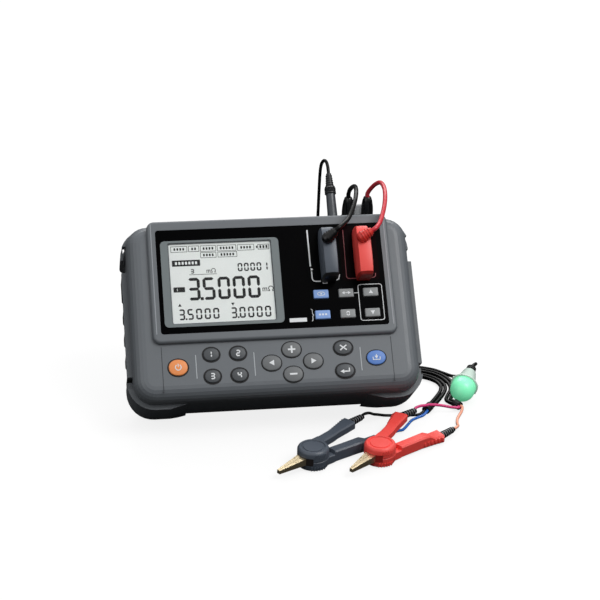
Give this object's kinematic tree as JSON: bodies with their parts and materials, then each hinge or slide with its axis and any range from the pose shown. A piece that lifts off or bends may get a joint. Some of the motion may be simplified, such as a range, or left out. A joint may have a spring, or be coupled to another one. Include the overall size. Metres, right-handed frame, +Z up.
{
  "type": "handheld micro ohmmeter",
  "caption": "Portable resistance meter leaning on its flap stand, with display, keys, double plugs, a lead set ending in two clips, and a corded indicator lamp",
  "frame": {"origin": "on the table, at the middle of the meter's width and depth as it stands on its bumpers and its opened stand", "axes": "+X to the right seen from the front, the front with the display and keys faces -Y and leans back, +Z up"},
  "size_m": [0.2409, 0.2781, 0.14],
  "materials": {
    "case_grey": "fine moulded grain, mid grey",
    "case_grey_rear": "fine moulded grain, slightly darker grey",
    "black_rubber": "matt soft grip",
    "black_panel": "printed and glossy",
    "display_frame": "grey-green satin print",
    "display_window": "clear, thin",
    "display_face": "pale liquid crystal with dark digits",
    "circuit_board": "green solder mask",
    "grey_rubber": "silicone key mat",
    "gold_contact": "gold plated",
    "black_plastic": "satin moulded",
    "battery_skin": "plain printed sleeve",
    "steel": "plain bright",
    "dark_plastic": "moulded grain",
    "orange_key": "satin",
    "blue_key": "satin",
    "grey_key": "satin",
    "dark_key": "satin",
    "red_plastic": "satin moulded",
    "cord_jacket": "flexible jacket, one short lead in red",
    "cord_rubber": "matt moulded rubber",
    "coloured_wire": "four wires: black, blue, pink and salmon",
    "plug_grey": "satin",
    "lamp_clear": "clear moulded plastic",
    "lamp_green": "translucent green, lit",
    "brass_jaw": "satin plate"
  },
  "bodies": {
    "meter": {"front_cover": "case_grey", "rear_case": "case_grey_rear", "side_grip_left": "black_rubber", "side_grip_right": "black_rubber", "panel_sheet": "black_panel", "lcd_frame": "display_frame", "lcd_window": "display_window", "lcd_module": "display_face", "main_board": "circuit_board", "keypad_mat": "grey_rubber", "terminal_sockets": "gold_contact", "top_sockets": "black_plastic", "battery_cover": "case_grey_rear", "batteries": "battery_skin", "battery_contacts": "steel", "case_screws": "steel", "plug_black": "black_plastic", "plug_red": "red_plastic", "short_leads": "cord_jacket", "lead_junction": "cord_rubber", "main_cable": "cord_jacket", "main_cable_coil": "cord_jacket", "branch_junction": "cord_rubber", "branch_cords": "cord_jacket", "branch_sleeves": "cord_rubber", "clip_wires": "coloured_wire", "lamp_plug": "plug_grey", "lamp_cord": "cord_jacket", "lamp_cord_coil": "cord_jacket", "lamp_base": "lamp_clear", "lamp_dome": "lamp_green", "clip_black_base": "black_plastic", "clip_red_base": "red_plastic", "clip_base_jaws": "brass_jaw", "clip_pins": "steel", "clip_springs": "steel"},
    "stand": {"tilt_stand": "dark_plastic"},
    "usb_flap": {"usb_cover": "black_rubber"},
    "key_view_cap": {"key_view": "blue_key"},
    "key_mode_cap": {"key_mode": "blue_key"},
    "key_auto_cap": {"key_auto": "grey_key"},
    "key_zero_cap": {"key_zero": "grey_key"},
    "key_range_up_cap": {"key_range_up": "grey_key"},
    "key_range_down_cap": {"key_range_down": "grey_key"},
    "key_power_cap": {"key_power": "orange_key"},
    "key_compare_cap": {"key_compare": "dark_key"},
    "key_panel_cap": {"key_panel": "dark_key"},
    "key_temperature_cap": {"key_temperature": "dark_key"},
    "key_average_cap": {"key_average": "dark_key"},
    "key_left_cap": {"key_left": "grey_key"},
    "key_plus_cap": {"key_plus": "grey_key"},
    "key_minus_cap": {"key_minus": "grey_key"},
    "key_right_cap": {"key_right": "grey_key"},
    "key_escape_cap": {"key_escape": "dark_key"},
    "key_enter_cap": {"key_enter": "dark_key"},
    "key_store_cap": {"key_store": "blue_key"},
    "black_lever": {"clip_black_lever": "black_plastic", "clip_black_lever_jaw": "brass_jaw"},
    "red_lever": {"clip_red_lever": "red_plastic", "clip_red_lever_jaw": "brass_jaw"}
  },
  "joints": [
    {"name": "key_view_press", "type": "slide", "parent": "meter", "child": "key_view_cap", "axis": [0, 0.7431, -0.6691], "range_m": [0, 0.001], "stiffness_N_per_m": 400},
    {"name": "key_mode_press", "type": "slide", "parent": "meter", "child": "key_mode_cap", "axis": [0, 0.7431, -0.6691], "range_m": [0, 0.001], "stiffness_N_per_m": 400},
    {"name": "key_auto_press", "type": "slide", "parent": "meter", "child": "key_auto_cap", "axis": [0, 0.7431, -0.6691], "range_m": [0, 0.001], "stiffness_N_per_m": 400},
    {"name": "key_zero_press", "type": "slide", "parent": "meter", "child": "key_zero_cap", "axis": [0, 0.7431, -0.6691], "range_m": [0, 0.001], "stiffness_N_per_m": 400},
    {"name": "key_range_up_press", "type": "slide", "parent": "meter", "child": "key_range_up_cap", "axis": [0, 0.7431, -0.6691], "range_m": [0, 0.001], "stiffness_N_per_m": 400},
    {"name": "key_range_down_press", "type": "slide", "parent": "meter", "child": "key_range_down_cap", "axis": [0, 0.7431, -0.6691], "range_m": [0, 0.001], "stiffness_N_per_m": 400},
    {"name": "key_power_press", "type": "slide", "parent": "meter", "child": "key_power_cap", "axis": [0, 0.7431, -0.6691], "range_m": [0, 0.001], "stiffness_N_per_m": 400},
    {"name": "key_compare_press", "type": "slide", "parent": "meter", "child": "key_compare_cap", "axis": [0, 0.7431, -0.6691], "range_m": [0, 0.001], "stiffness_N_per_m": 400},
    {"name": "key_panel_press", "type": "slide", "parent": "meter", "child": "key_panel_cap", "axis": [0, 0.7431, -0.6691], "range_m": [0, 0.001], "stiffness_N_per_m": 400},
    {"name": "key_temperature_press", "type": "slide", "parent": "meter", "child": "key_temperature_cap", "axis": [0, 0.7431, -0.6691], "range_m": [0, 0.001], "stiffness_N_per_m": 400},
    {"name": "key_average_press", "type": "slide", "parent": "meter", "child": "key_average_cap", "axis": [0, 0.7431, -0.6691], "range_m": [0, 0.001], "stiffness_N_per_m": 400},
    {"name": "key_left_press", "type": "slide", "parent": "meter", "child": "key_left_cap", "axis": [0, 0.7431, -0.6691], "range_m": [0, 0.001], "stiffness_N_per_m": 400},
    {"name": "key_plus_press", "type": "slide", "parent": "meter", "child": "key_plus_cap", "axis": [0, 0.7431, -0.6691], "range_m": [0, 0.001], "stiffness_N_per_m": 400},
    {"name": "key_minus_press", "type": "slide", "parent": "meter", "child": "key_minus_cap", "axis": [0, 0.7431, -0.6691], "range_m": [0, 0.001], "stiffness_N_per_m": 400},
    {"name": "key_right_press", "type": "slide", "parent": "meter", "child": "key_right_cap", "axis": [0, 0.7431, -0.6691], "range_m": [0, 0.001], "stiffness_N_per_m": 400},
    {"name": "key_escape_press", "type": "slide", "parent": "meter", "child": "key_escape_cap", "axis": [0, 0.7431, -0.6691], "range_m": [0, 0.001], "stiffness_N_per_m": 400},
    {"name": "key_enter_press", "type": "slide", "parent": "meter", "child": "key_enter_cap", "axis": [0, 0.7431, -0.6691], "range_m": [0, 0.001], "stiffness_N_per_m": 400},
    {"name": "key_store_press", "type": "slide", "parent": "meter", "child": "key_store_cap", "axis": [0, 0.7431, -0.6691], "range_m": [0, 0.001], "stiffness_N_per_m": 400},
    {"name": "stand_fold", "type": "hinge", "parent": "meter", "child": "stand", "pos_m": [0, 0.02598, 0.06801], "axis": [1, 0, 0], "range_deg": [-72, 0]},
    {"name": "usb_flap_open", "type": "hinge", "parent": "meter", "child": "usb_flap", "pos_m": [-0.02, 0.03123, 0.09686], "axis": [-1, 0, 0], "range_deg": [0, 110]},
    {"name": "black_clip_squeeze", "type": "hinge", "parent": "meter", "child": "black_lever", "pos_m": [0.0154, -0.1065, 0.0065], "axis": [0, 0, -1], "range_deg": [0, 12], "stiffness_Nm_per_rad": 0.3, "springref_deg": -20.05},
    {"name": "red_clip_squeeze", "type": "hinge", "parent": "meter", "child": "red_lever", "pos_m": [0.0577, -0.1066, 0.0065], "axis": [0, 0, -1], "range_deg": [0, 12], "stiffness_Nm_per_rad": 0.3, "springref_deg": -20.05}
  ]
}
